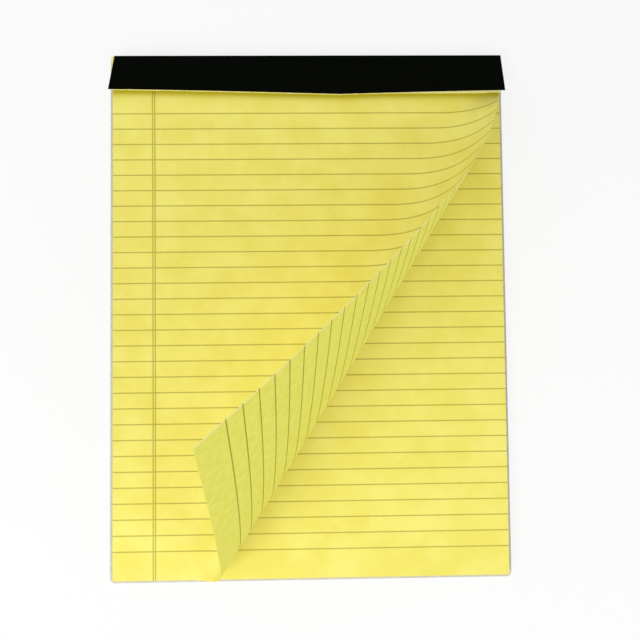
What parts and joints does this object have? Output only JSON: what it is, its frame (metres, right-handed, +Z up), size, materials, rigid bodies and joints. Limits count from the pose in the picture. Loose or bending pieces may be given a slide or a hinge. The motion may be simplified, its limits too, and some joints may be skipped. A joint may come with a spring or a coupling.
{
  "type": "legal pad",
  "caption": "Letter-size yellow ruled writing pad with a black taped head, torn stubs below the tape and its top sheet lifted by one corner and rolled over.",
  "frame": {"origin": "middle of the pad's outline, on the plane of the board's back", "axes": "+X across the page to its right side, +Y along the page to the bound head, +Z up from the back to the page"},
  "size_m": [0.2214, 0.2892, 0.1413],
  "materials": {
    "chipboard": "matt grey chipboard",
    "page_paper": "matt yellow writing paper",
    "sheet_paper": "matt yellow writing paper",
    "stub_paper": "torn yellow paper",
    "tape": "black binding tape, dull",
    "wire": "bright staple wire"
  },
  "bodies": {
    "root": {"backing_board": "chipboard", "page_block": "page_paper", "top_sheet": "sheet_paper", "torn_stubs": "stub_paper", "binding_tape": "tape", "staples": "wire"}
  },
  "joints": []
}
